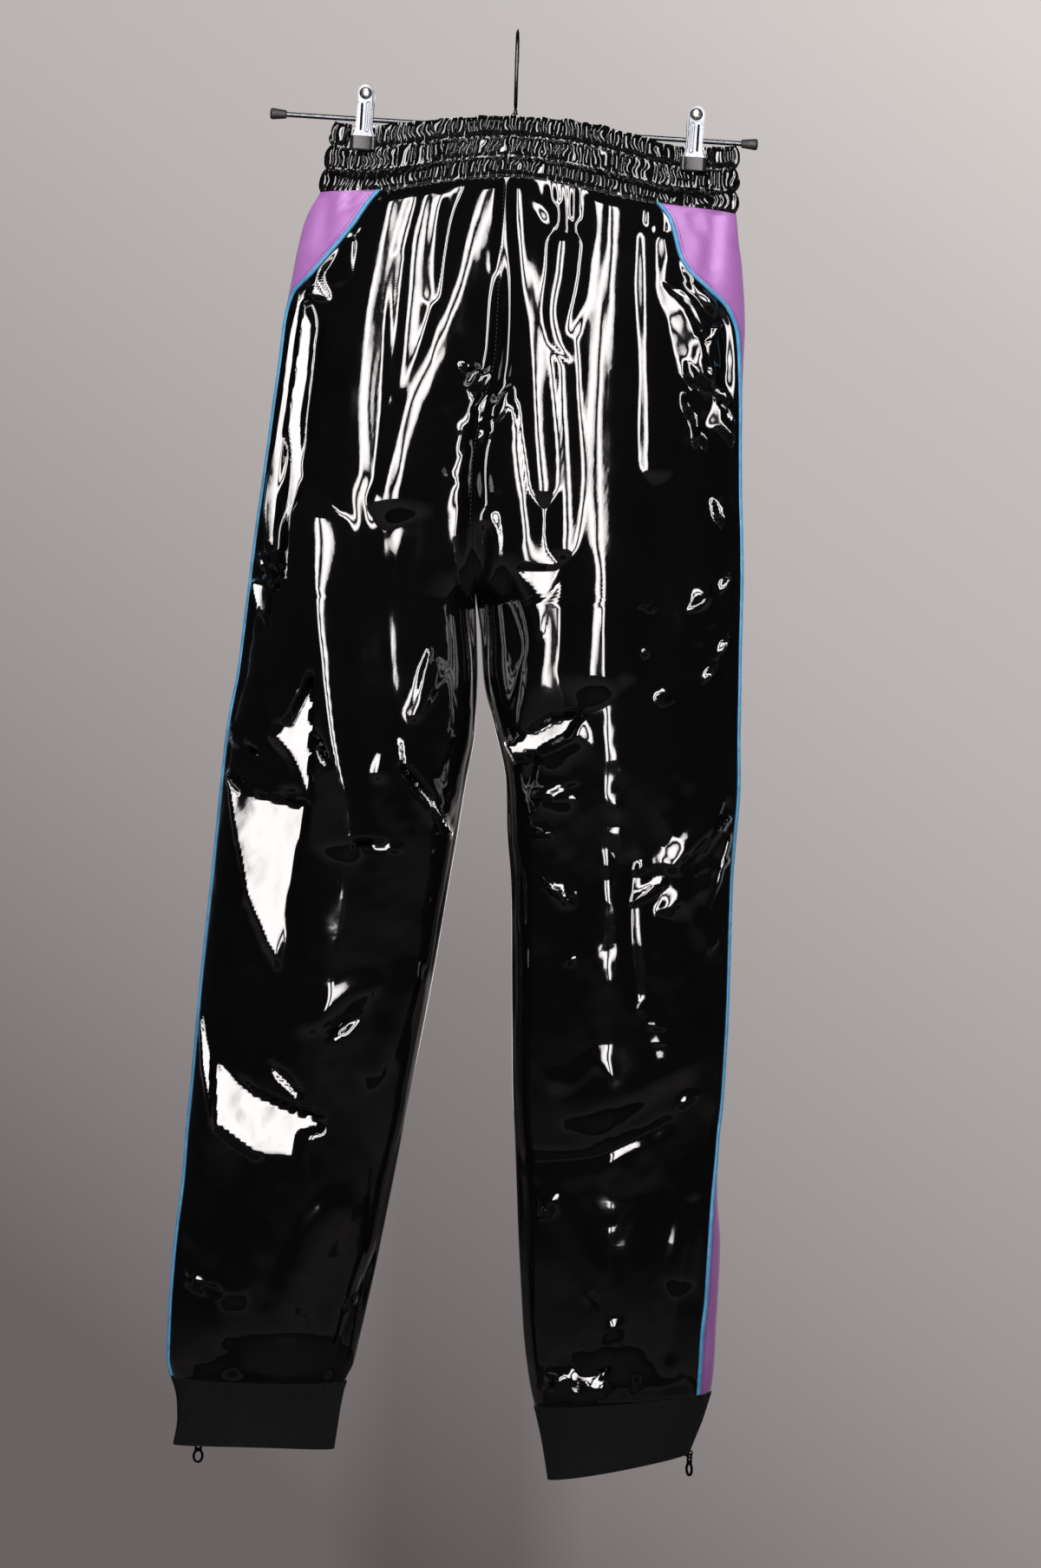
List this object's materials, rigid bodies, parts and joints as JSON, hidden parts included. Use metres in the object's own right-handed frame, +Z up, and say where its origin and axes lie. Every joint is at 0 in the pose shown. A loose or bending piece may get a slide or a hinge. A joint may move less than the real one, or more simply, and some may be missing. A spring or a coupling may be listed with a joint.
{
  "type": "pvc jogger trousers on a clip hanger",
  "caption": "Glossy black PVC joggers with piped side stripes, gathered waist and zipped knit cuffs, hanging from a metal clip hanger.",
  "frame": {"origin": "inner top of the hook, where it sits on the rail", "axes": "+Z up, +X to the right as the hanging trousers are seen from behind, -Y out of the back of the trousers"},
  "size_m": [0.4366, 0.1296, 1.1407],
  "materials": {
    "pvc": "high-gloss black PVC film on a woven backing",
    "pvc_waistband": "high-gloss black PVC, gathered on elastic",
    "leatherette": "purple leatherette, fine grain, satin",
    "piping": "sky-blue woven piping, matt",
    "rib_knit": "charcoal rib knit, matt",
    "zip_tape": "black woven tape with moulded teeth",
    "black_metal": "black enamelled zinc, semi-gloss",
    "chrome": "polished chrome plate",
    "black_rubber": "black moulded rubber, satin",
    "clear_plastic": "smoky clear vinyl"
  },
  "bodies": {
    "trousers": {"waistband": "pvc_waistband", "back_left": "pvc", "back_right": "pvc", "front_left": "pvc", "front_right": "pvc", "stripe_left": "leatherette", "stripe_right": "leatherette", "piping_left_back": "piping", "piping_left_front": "piping", "piping_right_back": "piping", "piping_right_front": "piping", "cuff_left": "rib_knit", "cuff_right": "rib_knit", "zip_left": "zip_tape", "zip_right": "zip_tape", "zip_slider_left": "black_metal", "zip_slider_right": "black_metal", "hook": "chrome", "collar": "chrome", "bar": "chrome", "end_cap_left": "black_rubber", "end_cap_right": "black_rubber", "clip_spring_left": "chrome", "clip_spring_right": "chrome", "clip_plate_left_near": "chrome", "clip_plate_left_far": "chrome", "clip_plate_right_near": "chrome", "clip_plate_right_far": "chrome", "clip_sleeve_left_near": "clear_plastic", "clip_sleeve_left_far": "clear_plastic", "clip_sleeve_right_near": "clear_plastic", "clip_sleeve_right_far": "clear_plastic"},
    "pull_left": {"zip_pull_left": "black_metal"},
    "pull_right": {"zip_pull_right": "black_metal"}
  },
  "joints": [
    {"name": "pull_left_swing", "type": "hinge", "parent": "trousers", "child": "pull_left", "pos_m": [-0.22049, 0.02111, -1.11983], "axis": [0.9344, 0.3562, 0], "range_deg": [-5, 150]},
    {"name": "pull_right_swing", "type": "hinge", "parent": "trousers", "child": "pull_right", "pos_m": [0.16888, 0.00807, -1.11656], "axis": [0.5276, -0.8495, 0], "range_deg": [-5, 150]}
  ]
}
